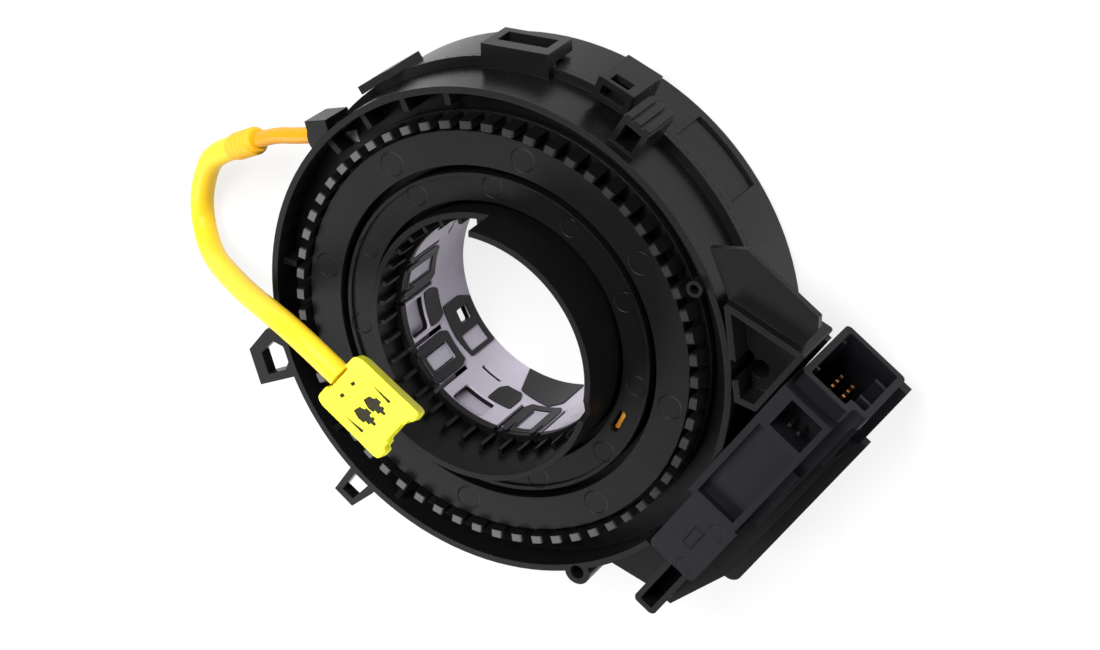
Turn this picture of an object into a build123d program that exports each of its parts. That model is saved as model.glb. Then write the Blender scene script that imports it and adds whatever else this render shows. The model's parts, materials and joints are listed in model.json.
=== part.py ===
from build123d import *
import math
import os

os.makedirs("parts", exist_ok=True)

# Steering clock spring. Millimetres, shaft axis on Z, Z = 0 is the wheel side face that it rests on.

# Wheel case: the far shell, a skirt with an end plate
case_radius = 50.8
case_wall = 1.5
skirt_height = 14.3
end_plate = 2.0
window_inset = 10.8
case_chamfer = 1.0

# Column case: the near shell that stands in the skirt
shell_gap = 0.3
shell_wall = 1.3
rim_height = 27.6
spigot_depth = 2.2
lip_height = 1.2
mid_plate_top = 21.0
mid_plate = 1.5
mid_plate_gap = 1.0

# Fits between the turning side and the fixed side
axial_gap = 0.4
slit_gap = 0.8
window_gap = 0.7
seat_gap = 0.3
rib_merge = 0.2
sleeve_merge = 0.3

# Hub: the bore tube of the wheel side, with its dish, drum and snap windows
bore_radius = 22.3
tube_wall = 1.5
rotor_face = 0.8
tube_top = 23.7
dish_depth = 5.2
dish_thickness = 1.5
dish_step = 2.8
dish_wall = 1.5
flange_overlap = 2.5
flange_thickness = 1.5
drum_radius = 28.0
drum_wall = 1.5
dish_ribs = 8
dish_rib = 1.2
dish_rib_height = 3.6
drive_slot_angle = 16.0
drive_slot_places = (90.0, 270.0)
drive_slot_inner = 0.7
drive_slot_outer = 0.5
snap_angles = (12.0, 60.0, 108.0, 156.0, 204.0, 252.0, 312.0)
snap_width = 3.7
snap_height = 8.4
snap_middle = 17.3
snap_foot = 12.0
snap_slit = 0.9
snap_frame = 9.4
snap_corner = 0.6
nose_height = 1.8
opening_angles = (228.0, 280.0)
opening_width = 7.0
opening_height = 6.2
opening_middle = 18.8
opening_corner = 0.9
peep_angles = (60.0, 150.0, 241.8, 330.0)
peep_width = 3.3
peep_height = 4.0
peep_middle = 4.5
groove_angles = (95.0, 185.0, 275.0)
groove_width = 4.7
groove_height = 1.2
groove_middle = 8.6

# Hub sleeve of the column side
sleeve_gap = 0.4
sleeve_wall = 1.2
sleeve_foot = 14.5
low_rim = 29.4
tall_rim = 37.1
tall_start = -112.0
tall_stop = 124.0
rim_margin = 1.0
sleeve_rib_count = 36
sleeve_rib = 0.8
sleeve_rib_depth = 1.3
sleeve_rib_height = 5.0
rim_notch_angle = 22.0
rim_notch_width = 4.4
rim_notch_depth = 2.0

# Ring of the column side with its trench
trench = 1.2
ring_width = 5.6
ring_height = 26.5
ring_thickness = 1.5
ring_lip = 0.4
ring_wall = 1.2
column_flange = 1.5
column_flange_reach = 2.8
slot_length = 5.0
slot_width = 1.6
slot_angle = 10.0
slot_setback = 1.0
holder_half_angle = 16.0

# Slit ring: a plate and a fence of slats
plate_gap = 1.5
plate_edge = 0.85
plate_height = 27.0
plate_thickness = 2.2
drum_gap = 3.8
drum_step_wall = 1.4
fence_inset = 5.7
fence_wall = 1.5
fence_top = 28.5
fence_flange = 1.4
fence_foot = 0.3
slat_count = 60
slat_width = 2.5
slat_chamfer = 0.4

# Flat cable and its slide sheets
ribbon_thickness = 0.5
ribbon_turns = 4
sheet_thickness = 0.3
cable_clearance = 0.4

# Connector block beside the case: sensor housing, its side ledge and the lid of the cable's terminals
carrier_top = 16.5
carrier_thickness = 2.0
deck_reach = 12.9
tray_front = [(38.0, -31.0), (52.0, -27.0), (58.0, -26.4)]
tray_step = -12.0
tray_back = [(24.0, 43.0), (20.0, 40.0)]
block_overlap = 3.0
block_width = 11.6
block_low = 6.3
block_length = 31.9
block_top = 28.5
block_wall = 1.3
ledge_width = 2.4
ledge_top = 23.6
clip_low = 18.0
clip_length = 4.8
clip_reach = 1.8
clip_height = 1.0
socket_side = 7.4
socket_depth = 5.7
socket_wall = 1.2
recess_depth = 1.6
recess_margin = 1.4
lid_low = -9.8
lid_gap = 0.4
lid_top = 27.8
lid_wall = 1.2
lid_corner = 1.2
lid_overlap = 1.8
lid_width = 11.1
terminal_foot = 3.0
terminal_rib = 0.6
terminal_count = 5
board_thickness = 1.2
board_lift = 1.0
reader_first = 4.0
reader_pitch = 5.0
reader_width = 3.2
reader_window = 2.8
reader_sill = 1.6
reader_depth = 2.4
lens_depth = 0.4

# Large connector shroud under the block, its mouth towards +Y
shroud_inset = 0.5
shroud_width = 14.5
shroud_back = 26.0
shroud_low = 5.5
shroud_body_top = 21.5
collar_depth = 3.3
collar_top = 26.1
collar_step = 3.3
collar_step_top = 23.6
shroud_wall = 1.4
shroud_floor = 3.5
shroud_corner = 1.1
rail_reach = 2.6
rail_thickness = 0.8
rail_heights = (10.9, 17.9)
key_height = 2.0
key_depth = 0.8
flange_reach = 2.0
flange_height = 2.4
pin_size = 0.64
pin_pitch = 2.05
pin_row_gap = 2.7
pin_rows = 4
pin_length = 7.1
pin_middle = 7.05
pin_middle_z = 15.0
socket_pins = 2
socket_pin_height = 3.6
socket_pin_pitch = 2.2
socket_pin_inset = 1.4

# Cover that closes the block from the wheel side, with its two outer ledges
cover_bottom = 5.5
cover_wall = 1.3
cover_low = -26.0
cover_inner = 42.0
cover_reach = 11.0
cover_slope = 14.0
low_ledge_reach = 4.3
low_ledge_start = -19.0
low_ledge_height = 2.5
low_ledge_corner = 2.4
high_ledge_reach = 2.8
high_ledge_start = 3.0
high_ledge_foot = 9.0
high_ledge_height = 2.0
high_ledge_corner = 1.0

# Open foot below the lid
foot_setout = 3.0
foot_width = 5.2
foot_low = -25.4
foot_top = 24.0
foot_wall = 1.2

# Bosses, ears and brackets of the column case
screw_x = 41.1
screw_y = -27.5
screw_outer = 2.6
screw_hole = 1.4
screw_depth = 10.0
post_x = 22.9
post_y = 39.8
post_outer = 1.6
post_hole = 0.9
ear_top = 26.0
ear_thickness = 2.6
latches = ((126.0, 14.0), (208.0, 9.0), (285.0, 9.0))
latch_reach = 2.6
catch_setback = 1.0
latch_low = 8.0
latch_bar = 1.8
hooks = ((102.5, 7.6, 4.5), (160.0, 8.0, 1.5), (302.0, 8.0, 1.5))
hook_wall = 1.3
hook_top = 19.5
skirt_window_start = 71.0
skirt_window_stop = 89.0
skirt_window_low = 3.0
skirt_window_top = 12.8
skirt_window_depth = 0.6
tower_angle = 94.0
tower_width = 6.0
tower_reach = 6.0
tower_low = 15.6
tower_top = 25.6
tower_wall = 1.2
tower_depth = 7.0
tower_rib = 0.6
rib_angles = (138.0, 150.0, 162.0, 174.0, 210.0, 232.0, 254.0, 276.0)
rib_thickness = 1.2
rib_height = 4.6
rib_reach = 3.0
bracket_wall = 1.2
pocket_floor = 23.0
bracket_sink = 0.5
blade_top = 26.5
blade_thickness = 1.5

# Wheel side connectors, recessed in the dish
wheel_block_margin = 1.55
wheel_block_width = 18.0
wheel_block_wall = 1.1
airbag_block_width = 13.0
wheel_cavity = 4.2
wheel_pin_height = 2.6
switch_place = 0.0
switch_pins = 6
airbag_place = 180.0
airbag_pins = 3

# Yellow lead
core_diameter = 3.2
sheath_diameter = 4.8
collar_diameter = 5.6
collar_start = 0.12
collar_stop = 0.82
collar_lift = 0.1
grommet_bore_gap = 0.1
grommet_radius = 2.5
grommet_flange = 3.1
grommet_flange_thickness = 1.0
hood_length = 5.0
hood_width = 8.0
hood_height = 7.6
hood_bore_middle = 4.5
hood_bore_length = 12.0
corner_share = 0.45

# Yellow connector on the lead
plug_length = 16.4
plug_width = 11.8
plug_height = 7.0
plug_roll = -18.0
plug_rear_corner = 2.24
plug_edge = 0.72
plug_lip_length = 2.4
plug_lip_reach = 0.8
plug_lip_inset = 2.4
plug_lip_height = 1.4
wing_back = 5.0
wing_front = 2.6
wing_reach = 0.6
wing_rise = 1.6
wire_hole = 0.5
wire_hole_depth = 2.0
wire_hole_side = 1.9
plug_slit_start = 0.42
plug_slit_inset = 1.9
plug_slit_length = 3.4
plug_slit_width = 0.9
plug_slit_depth = 0.5
plug_window = 6.0
plug_window_floor = 1.0
plug_cavity = 11.0
plug_cavity_gap = 0.4
plug_cavity_low = -1.8
plug_cavity_high = 1.6
plug_mouth = 1.0
plug_terminal = 1.5
plug_terminal_length = 7.0
plug_terminal_low = -0.8
plug_terminal_high = 0.7
plug_pitch = 4.0
contact_gap = 0.3
contact_half = 1.7
contact_shoulder = 0.7
contact_waist = 0.4
contact_arm = 1.6
contact_foot = 1.9
contact_sink = 0.4

# Wall radius for which the outlines and the route below were drawn
drawn_radius = 49.0

# Heights and radii that follow from the sizes above
shell_outer = case_radius - case_wall - shell_gap
shell_inner = shell_outer - shell_wall
case_scale = shell_outer / drawn_radius
slit_foot = mid_plate_top + slit_gap
column_floor = slit_foot - column_flange
flange_foot = end_plate + axial_gap
dish_floor = rotor_face + dish_depth
chamber_floor = dish_floor + dish_thickness
tube_outer = bore_radius + tube_wall
sleeve_inner = tube_outer + sleeve_gap
sleeve_outer = sleeve_inner + sleeve_wall
ring_inner = sleeve_outer + trench
carrier_foot = carrier_top - carrier_thickness
block_inner = shell_outer - block_overlap
block_outer = block_inner + block_width
deck_outer = shell_outer + deck_reach
block_high = block_low + block_length
ledge_outer = block_outer + ledge_width
socket_high = block_high - socket_wall
socket_low = socket_high - socket_side
socket_inner = block_outer - block_wall - socket_side
socket_floor = block_top - socket_depth
lid_high = block_low - lid_gap
lid_inner = shell_outer - lid_overlap
lid_outer = lid_inner + lid_width
shroud_inner = block_inner + shroud_inset
shroud_outer = shroud_inner + shroud_width
pin_middle_x = shroud_inner + pin_middle
shroud_mouth = block_high + collar_depth
cavity_end = shroud_back + shroud_floor
cover_outer = shell_outer + cover_reach
low_ledge_outer = cover_outer + low_ledge_reach
high_ledge_outer = cover_outer + high_ledge_reach
foot_inner = shell_outer + foot_setout
foot_outer = foot_inner + foot_width
window_radius = case_radius - window_inset
dish_radius = window_radius - window_gap - dish_step
wheel_block_radial = dish_radius - bore_radius - tube_wall - 2 * wheel_block_margin
flange_radius = window_radius + flange_overlap
ring_radius = ring_inner + ring_width
column_flange_radius = ring_radius + column_flange_reach
mid_plate_radius = column_flange_radius + mid_plate_gap
plate_inner = ring_radius + plate_gap
drum_step = ring_radius + drum_gap
fence_radius = shell_inner - fence_inset
fence_inner = fence_radius - fence_wall / 2
fence_outer = fence_radius + fence_wall / 2
plate_outer = fence_inner - plate_edge

# Outlines in plan of the two ears near the rim, of their holes, and of the bracket with its blade
large_ear = [(-32.6, -35.7), (-36.0, -39.6), (-36.3, -46.2), (-30.2, -50.8), (-25.9, -43.4), (-25.0, -41.3)]
large_ear_hole = [
    (-31.2, -39.6),
    (-33.4, -40.4),
    (-33.9, -44.6),
    (-30.2, -47.4),
    (-28.0, -43.4),
    (-28.6, -41.2),
]
small_ear = [(-5.9, -48.0), (-5.7, -57.0), (-0.8, -57.2), (0.8, -51.0), (0.8, -48.0)]
small_ear_hole = [(-4.4, -50.4), (-4.4, -55.6), (-1.6, -55.6), (-0.9, -50.4)]
bracket_corners = [(29.4, 41.8), (44.9, 45.0), (45.0, 30.0), (41.7, 28.6)]
bracket_holes = [((37.4, 32.6), 2.0), ((40.8, 33.2), 1.8)]
blade_outline = [(20.0, 47.2), (25.2, 52.3), (42.5, 52.3), (43.8, 50.4), (43.8, 44.6), (29.0, 41.6)]

# Route of the lead, chosen by hand: its thin part, and its sheath after the collar
core_route = [
    (-51.3, -0.9, 18.3),
    (-55.2, -5.6, 18.0),
    (-59.13, -10.12, 16.48),
    (-61.9, -15.7, 14.3),
]
sheath_route = [
    (-65.89, -23.73, 11.16),
    (-69.38, -30.74, 8.43),
    (-69.8, -38.3, 4.9),
    (-68.2, -45.6, 3.2),
    (-63.9, -50.4, 4.0),
    (-57.4, -49.9, 9.2),
    (-50.4, -43.3, 17.5),
    (-43.0, -35.6, 26.5),
    (-36.0, -27.9, 34.6),
    (-29.6, -22.4, 40.3),
    (-22.8, -20.1, 42.7),
    (-15.8, -20.1, 42.7),
]


def at(radius, angle, height=0.0):
    """A point from its radius, its angle in degrees and its height."""
    turn = math.radians(angle)
    return (radius * math.cos(turn), radius * math.sin(turn), height)


def follow_case(points):
    """Points of an outline or a route, moved as the wall of the near shell moves."""
    return [(point[0] * case_scale, point[1] * case_scale, *point[2:]) for point in points]


def ring(inner, outer, bottom, top):
    """A plain ring about the shaft axis."""
    return extrude(Pos(0, 0, bottom) * (Circle(outer) - Circle(inner)), top - bottom)


def disc(outer, bottom, top):
    """A round plate about the shaft axis."""
    return extrude(Pos(0, 0, bottom) * Circle(outer), top - bottom)


def sector(inner, outer, start, stop, bottom, top):
    """A part of a ring between two angles."""
    middle = (start + stop) / 2
    far = ThreePointArc(at(outer, start, bottom), at(outer, middle, bottom), at(outer, stop, bottom))
    near = ThreePointArc(at(inner, stop, bottom), at(inner, middle, bottom), at(inner, start, bottom))
    sides = [Line(far @ 1, near @ 0), Line(near @ 1, far @ 0)]
    return extrude(make_face([far, sides[0], near, sides[1]]), top - bottom, dir=(0, 0, 1))


def turned(points):
    """A body of revolution from its (radius, height) outline."""
    return revolve(Plane.XZ * make_face(Polyline(*points, close=True)), Axis.Z)


def block(x_low, x_high, y_low, y_high, bottom, top):
    """A box from its lowest and highest corners."""
    centre = Pos((x_low + x_high) / 2, (y_low + y_high) / 2, (bottom + top) / 2)
    return centre * Box(x_high - x_low, y_high - y_low, top - bottom)


def spoke(inner, outer, width, angle, bottom, top):
    """A box that stands along a radius, at an angle."""
    return Rot(0, 0, angle) * block(inner, outer, -width / 2, width / 2, bottom, top)


def prism(points, bottom, top):
    """A plate from its outline in plan."""
    return extrude(Pos(0, 0, bottom) * make_face(Polyline(*points, close=True)), top - bottom)


def along_block(points, corner, front, depth):
    """A body from its outline in X and Z, that runs back from its front face towards the case."""
    face = make_face(Polyline(*points, close=True))
    if corner > 0:
        face = fillet(face.vertices(), corner)
    return extrude(Plane(origin=(0, front, 0), x_dir=(1, 0, 0), z_dir=(0, -1, 0)) * face, depth)


def pane(width, height, corner, angle, middle, inner, outer):
    """A rounded window that is cut along a radius."""
    start = at(inner, angle, middle)
    tangent = at(1, angle + 90)
    face = Plane(origin=start, x_dir=tangent, z_dir=at(1, angle)) * RectangleRounded(width, height, corner)
    return extrude(face, outer - inner)


def make_wheel_case():
    """Far shell: skirt, end plate, catches for the latches and hooks over the near shell."""
    body = turned([
        (window_radius, 0),
        (case_radius - case_chamfer, 0),
        (case_radius, case_chamfer),
        (case_radius, skirt_height),
        (case_radius - case_wall, skirt_height),
        (case_radius - case_wall, end_plate),
        (window_radius, end_plate),
    ])
    wall_middle = case_radius - case_wall / 2
    catch_top = skirt_height - shell_gap
    catch_low = latch_low + latch_bar + shell_gap
    for angle, width in latches:
        catch_width = width - 2 * latch_bar - 2 * shell_gap
        catch_outer = case_radius + latch_reach - shell_gap - catch_setback
        body += spoke(wall_middle, catch_outer, catch_width, angle, catch_low, catch_top)
    for angle, width, reach in hooks:
        hook = spoke(wall_middle, case_radius + reach, width, angle, latch_low, hook_top)
        hook -= disc(case_radius, skirt_height, hook_top)
        slot_low = skirt_height + lip_height + shell_gap
        hook -= spoke(0, case_radius * 2, width - 2 * latch_bar, angle, slot_low, hook_top - latch_bar / 2)
        if reach > 2 * hook_wall:
            inside = case_radius + hook_wall
            outside = case_radius + reach - hook_wall
            hook -= spoke(inside, outside, width - 2 * hook_wall, angle, latch_low + hook_wall, hook_top)
        body += hook
    return body - sector(
        case_radius - skirt_window_depth,
        case_radius + skirt_window_depth,
        skirt_window_start,
        skirt_window_stop,
        skirt_window_low,
        skirt_window_top,
    )


def make_case_wall():
    """The near shell's ring: spigot in the skirt, lip on its edge, wall and mid plate."""
    return turned([
        (shell_inner, skirt_height - spigot_depth),
        (shell_outer, skirt_height - spigot_depth),
        (shell_outer, skirt_height),
        (case_radius, skirt_height),
        (case_radius, skirt_height + lip_height),
        (shell_outer, skirt_height + lip_height),
        (shell_outer, rim_height),
        (shell_inner, rim_height),
        (shell_inner, mid_plate_top),
        (mid_plate_radius, mid_plate_top),
        (mid_plate_radius, mid_plate_top - mid_plate),
        (shell_inner, mid_plate_top - mid_plate),
    ])


def make_ear(outline, hole):
    """A loop that stands out from the wall near the rim."""
    bottom = ear_top - ear_thickness
    ear = prism(follow_case(outline), bottom, ear_top) - prism(follow_case(hole), bottom, ear_top)
    return ear - disc(shell_outer - shell_wall / 2, 0, block_top)


def make_latch(angle, width):
    """A loop that hangs from the lip and closes round a catch of the skirt."""
    inside = case_radius + shell_gap
    outside = case_radius + latch_reach
    top = skirt_height + lip_height + latch_bar
    loop = spoke(inside, outside, width, angle, latch_low, top)
    opening_low = latch_low + latch_bar
    loop -= spoke(0, outside * 2, width - 2 * latch_bar, angle, opening_low, skirt_height)
    root = spoke(shell_outer - shell_wall / 2, outside, width, angle, skirt_height, top)
    return loop + root


def make_tower():
    """The ribbed boss outside the wall, open towards the column."""
    outside = shell_outer + tower_reach
    tower = spoke(shell_outer - shell_wall / 2, outside, tower_width, tower_angle, tower_low, tower_top)
    for side in (-1, 0, 1):
        middle = side * tower_width / 3
        left, right = middle - tower_rib, middle + tower_rib
        rib = block(outside, outside + tower_rib, left, right, tower_low, tower_top)
        tower += Rot(0, 0, tower_angle) * rib
    width = tower_width - 2 * tower_wall
    inside = shell_outer + tower_wall / 2
    tower -= spoke(inside, outside - tower_wall, width, tower_angle, tower_top - tower_depth, tower_top)
    return tower


def make_bracket():
    """The three-sided pocket between the rim and the connector block, with its flat blade."""
    outline = make_face(Polyline(*follow_case(bracket_corners), close=True))
    foot = carrier_top - bracket_sink
    body = extrude(Pos(0, 0, foot) * offset(outline, bracket_wall / 2), block_top - foot)
    body -= extrude(Pos(0, 0, pocket_floor) * offset(outline, -bracket_wall / 2), block_top - pocket_floor)
    for place, radius in bracket_holes:
        x, y = follow_case([place])[0]
        body -= Pos(x, y, foot) * Cylinder(radius, block_top)
    return body + prism(follow_case(blade_outline), blade_top - blade_thickness, blade_top)


def make_carrier():
    """The tray beside the wall that carries the connector block and the bracket."""
    edge = shroud_inner - seat_gap
    back = follow_case(tray_back)
    outline = [
        *follow_case(tray_front),
        (deck_outer, tray_step),
        (deck_outer, shroud_back),
        (edge, shroud_back),
        (edge, back[0][1]),
        *back,
    ]
    tray = prism(outline, carrier_foot, carrier_top)
    return tray - disc(shell_outer - shell_wall / 2, 0, block_top)


def make_foot():
    """The open foot that stands on the tray below the lid, with a rounded end."""
    foot = block(foot_inner, foot_outer, foot_low, lid_low - lid_gap, carrier_top, foot_top)
    foot = fillet(foot.edges().filter_by(Axis.Z).group_by(Axis.Y)[0], foot_wall)
    return foot - block(
        foot_inner + foot_wall,
        foot_outer - foot_wall,
        foot_low + foot_wall,
        lid_low,
        carrier_top + foot_wall,
        foot_top,
    )


def make_hood():
    """The hood on the wall that the lead comes out of, with the bore for its grommet."""
    start, following = follow_case(core_route[:2])
    exit_point = Vector(*start)
    along = (Vector(*following) - exit_point).normalized()
    frame = Plane(origin=exit_point, x_dir=(0, 0, 1), z_dir=along)
    hood = frame * Pos(0, 0, -hood_length / 2) * Box(hood_height, hood_width, hood_length)
    hood -= disc(shell_outer - shell_wall / 2, 0, block_top)
    hood -= disc(case_radius * 2, 0, skirt_height + lip_height / 2)
    return hood, frame


def make_column_case():
    """Near shell with everything that is moulded on it."""
    body = make_case_wall()
    body += make_ear(large_ear, large_ear_hole)
    body += make_ear(small_ear, small_ear_hole)
    for angle, width in latches:
        body += make_latch(angle, width)
    body += make_tower()
    rib_top = mid_plate_top + rib_height
    for angle in rib_angles:
        inside = shell_inner - rib_reach
        body += spoke(inside, shell_inner + rib_merge, rib_thickness, angle, mid_plate_top, rib_top)
    body += make_carrier()
    body += make_foot()
    body += make_bracket()
    body -= block(
        block_inner - seat_gap,
        deck_outer,
        lid_low - seat_gap,
        block_high + seat_gap,
        mid_plate_top + seat_gap,
        block_top,
    )
    boss, post = follow_case([(screw_x, screw_y), (post_x, post_y)])
    screw_middle = (skirt_height + rim_height) / 2
    pillar = Pos(*boss, screw_middle) * Cylinder(screw_outer, rim_height - skirt_height)
    body += pillar - disc(shell_outer - shell_wall / 2, 0, block_top)
    body -= Pos(*boss, rim_height) * Cylinder(screw_hole, screw_depth * 2)
    post_middle = (mid_plate_top + block_top) / 2
    body += Pos(*post, post_middle) * Cylinder(post_outer, block_top - mid_plate_top)
    body -= Pos(*post, block_top) * Cylinder(post_hole, block_top - mid_plate_top)
    hood, frame = make_hood()
    body += hood
    body -= frame * Pos(0, 0, -hood_bore_middle) * Cylinder(grommet_radius, hood_bore_length)
    return body


def make_sensor_housing():
    """Connector block: recessed top, square socket, side ledge and reader windows."""
    body = block(block_inner, block_outer, block_low, block_high, carrier_top, block_top)
    body += block(block_outer, ledge_outer, block_low + lid_wall, block_high, carrier_top, ledge_top)
    clip_outer = block_outer + clip_reach
    clip_high = clip_low + clip_length
    body += block(block_outer, clip_outer, clip_low, clip_high, ledge_top, ledge_top + clip_height)
    body -= block(block_inner, ledge_outer, shroud_back, block_high, carrier_top, shroud_body_top)
    body -= block(
        block_inner + recess_margin,
        block_outer - recess_margin,
        block_low + recess_margin,
        socket_low - block_wall,
        block_top - recess_depth,
        block_top,
    )
    body -= block(socket_inner, socket_inner + socket_side, socket_low, socket_high, socket_floor, block_top)
    body -= block(
        block_inner + block_wall,
        block_outer - block_wall,
        block_low + block_wall,
        socket_low - block_wall,
        carrier_top,
        block_top - recess_depth - block_wall,
    )
    for place in reader_places():
        low = mid_plate_top + reader_sill
        body -= block(
            block_inner,
            block_inner + block_wall,
            place - reader_width / 2,
            place + reader_width / 2,
            low,
            low + reader_window,
        )
    return body - step_over_wall()


def step_over_wall():
    """Room that a piece of the block leaves for the case wall and the mid plate."""
    return disc(shell_outer + seat_gap, 0, mid_plate_top + 2 * seat_gap)


def reader_places():
    """Where the two readers stand along the block."""
    first = block_low + reader_first
    return (first, first + reader_pitch)


def make_sensor_board():
    """Circuit board in the block, held between its side walls."""
    low = carrier_top + board_lift
    return block(
        board_inner(),
        block_outer - block_wall - seat_gap,
        block_low + block_wall + seat_gap,
        shroud_back - seat_gap,
        low,
        low + board_thickness,
    )


def board_inner():
    """Edge of the board that is nearest to the shaft, just outside the case wall."""
    return shell_outer + 2 * seat_gap


def make_photo_readers():
    """Two readers that stand on the board and look at the fence of slats."""
    foot = carrier_top + board_lift + board_thickness
    top = mid_plate_top + reader_sill + reader_window
    low_x = board_inner()
    readers = []
    for place in reader_places():
        half = reader_width / 2
        body = block(low_x, low_x + reader_depth, place - half, place + half, foot, top)
        lens_low = top - reader_window / 2
        lens_high = top - lens_depth
        body -= block(low_x, low_x + lens_depth, place - half / 2, place + half / 2, lens_low, lens_high)
        readers.append(body)
    return Compound(children=readers)


def make_terminal_cover():
    """Lid over the cable's outer terminals."""
    body = block(lid_inner, lid_outer, lid_low, lid_high, carrier_top, lid_top)
    body = fillet(body.edges().filter_by(Axis.Z).group_by(Axis.Y)[0], lid_corner)
    body -= block(
        lid_inner + lid_wall,
        lid_outer - lid_wall,
        lid_low + lid_wall,
        lid_high - lid_wall,
        carrier_top,
        lid_top - lid_wall,
    )
    return body - step_over_wall()


def make_terminal_block():
    """Block that joins the flat cable's outer end to the busbars."""
    low_x = board_inner()
    high_x = lid_outer - lid_wall - seat_gap
    low_y = lid_low + lid_wall + seat_gap
    high_y = lid_high - lid_wall - seat_gap
    rib_foot = carrier_top + terminal_foot
    body = block(low_x, high_x, low_y, high_y, carrier_top, rib_foot)
    pitch = (high_y - low_y) / (terminal_count + 1)
    for number in range(terminal_count):
        place = low_y + (number + 1) * pitch
        body += block(low_x, high_x, place - pitch / 4, place + pitch / 4, rib_foot, rib_foot + terminal_rib)
    return body


def make_harness_shroud():
    """Large connector shroud: body, stepped collar at its mouth, guide rails, keys and a foot flange."""
    low = shroud_low + shroud_wall
    left = shroud_inner + shroud_wall
    right = shroud_outer - shroud_wall
    step_x = shroud_outer - collar_step
    body_outline = [
        (shroud_inner, shroud_low),
        (shroud_outer, shroud_low),
        (shroud_outer, shroud_body_top),
        (shroud_inner, shroud_body_top),
    ]
    collar_outline = [
        (shroud_inner, shroud_low),
        (shroud_outer, shroud_low),
        (shroud_outer, collar_step_top),
        (step_x, collar_step_top),
        (step_x, collar_top),
        (shroud_inner, collar_top),
    ]
    deep_outline = [
        (left, low),
        (right, low),
        (right, shroud_body_top - shroud_wall),
        (left, shroud_body_top - shroud_wall),
    ]
    mouth_outline = [
        (left, low),
        (right, low),
        (right, collar_step_top - shroud_wall),
        (step_x - shroud_wall, collar_step_top - shroud_wall),
        (step_x - shroud_wall, collar_top - shroud_wall),
        (left, collar_top - shroud_wall),
    ]
    body = along_block(body_outline, 0, block_high, block_high - shroud_back)
    body += along_block(collar_outline, shroud_corner, shroud_mouth, collar_depth)
    body -= along_block(deep_outline, shroud_corner / 2, shroud_mouth, shroud_mouth - cavity_end)
    body -= along_block(mouth_outline, shroud_corner / 2, shroud_mouth, collar_depth)
    rail_front = shroud_mouth - key_depth
    for height in rail_heights:
        body += block(right - rail_reach, right, cavity_end, rail_front, height, height + rail_thickness)
    for height in (collar_top - shroud_wall - 2 * key_height, low + key_height):
        body += block(left, left + key_depth, cavity_end, rail_front, height, height + rail_thickness)
    flange_top = shroud_low + flange_height
    flange_outer = shroud_outer + flange_reach
    return body + block(shroud_outer, flange_outer, shroud_back, rail_front, shroud_low, flange_top)


def pin_grid(columns, rows, centre_x, centre_y, pitch_x, pitch_y, bottom, top):
    """A group of square pins."""
    half = pin_size / 2
    pins = []
    for column in range(columns):
        for row in range(rows):
            x = centre_x + (column - (columns - 1) / 2) * pitch_x
            y = centre_y + (row - (rows - 1) / 2) * pitch_y
            pins.append(block(x - half, x + half, y - half, y + half, bottom, top))
    return Compound(children=pins)


def make_harness_terminals():
    """Two columns of pins that stand out of the shroud's back wall."""
    half = pin_size / 2
    pins = []
    for side in (-1, 1):
        x = pin_middle_x + side * pin_row_gap / 2
        for row in range(pin_rows):
            z = pin_middle_z + (row - (pin_rows - 1) / 2) * pin_pitch
            pins.append(block(x - half, x + half, cavity_end, cavity_end + pin_length, z - half, z + half))
    return Compound(children=pins)


def make_socket_terminals():
    """Pins of the square socket."""
    middle_x = socket_inner + socket_side / 2
    row_y = socket_low + socket_pin_inset
    top = socket_floor + socket_pin_height
    return pin_grid(socket_pins, 1, middle_x, row_y, socket_pin_pitch, socket_pin_pitch, socket_floor, top)


def make_block_cover():
    """Cover under the tray, outside the skirt, with two ledges along its outer side."""
    outline = [
        (cover_inner * case_scale, cover_low),
        (cover_outer - cover_slope / 4, cover_low + cover_wall),
        (cover_outer, cover_low + cover_slope),
        (cover_outer, shroud_back),
        (cover_inner * case_scale, shroud_back),
    ]
    keep_off = case_radius + latch_reach + seat_gap
    body = prism(outline, cover_bottom, carrier_foot)
    face = offset(make_face(Polyline(*outline, close=True)), -cover_wall)
    inner = extrude(Pos(0, 0, cover_bottom + cover_wall) * face, carrier_foot - cover_bottom)
    body -= inner - disc(keep_off + cover_wall, 0, block_top)
    inside = cover_outer - cover_wall
    low_ledge = block(
        inside,
        low_ledge_outer,
        low_ledge_start,
        shroud_back,
        cover_bottom,
        cover_bottom + low_ledge_height,
    )
    body += round_tip(low_ledge, low_ledge_corner)
    high_top = high_ledge_foot + high_ledge_height
    high_ledge = block(inside, high_ledge_outer, high_ledge_start, shroud_back, high_ledge_foot, high_top)
    body += round_tip(high_ledge, high_ledge_corner)
    return body - disc(keep_off, 0, block_top)


def round_tip(ledge, corner):
    """A ledge with its outer end towards -Y rounded."""
    return fillet(ledge.edges().filter_by(Axis.Z).group_by(Axis.Y)[0].sort_by(Axis.X)[-1], corner)


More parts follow.
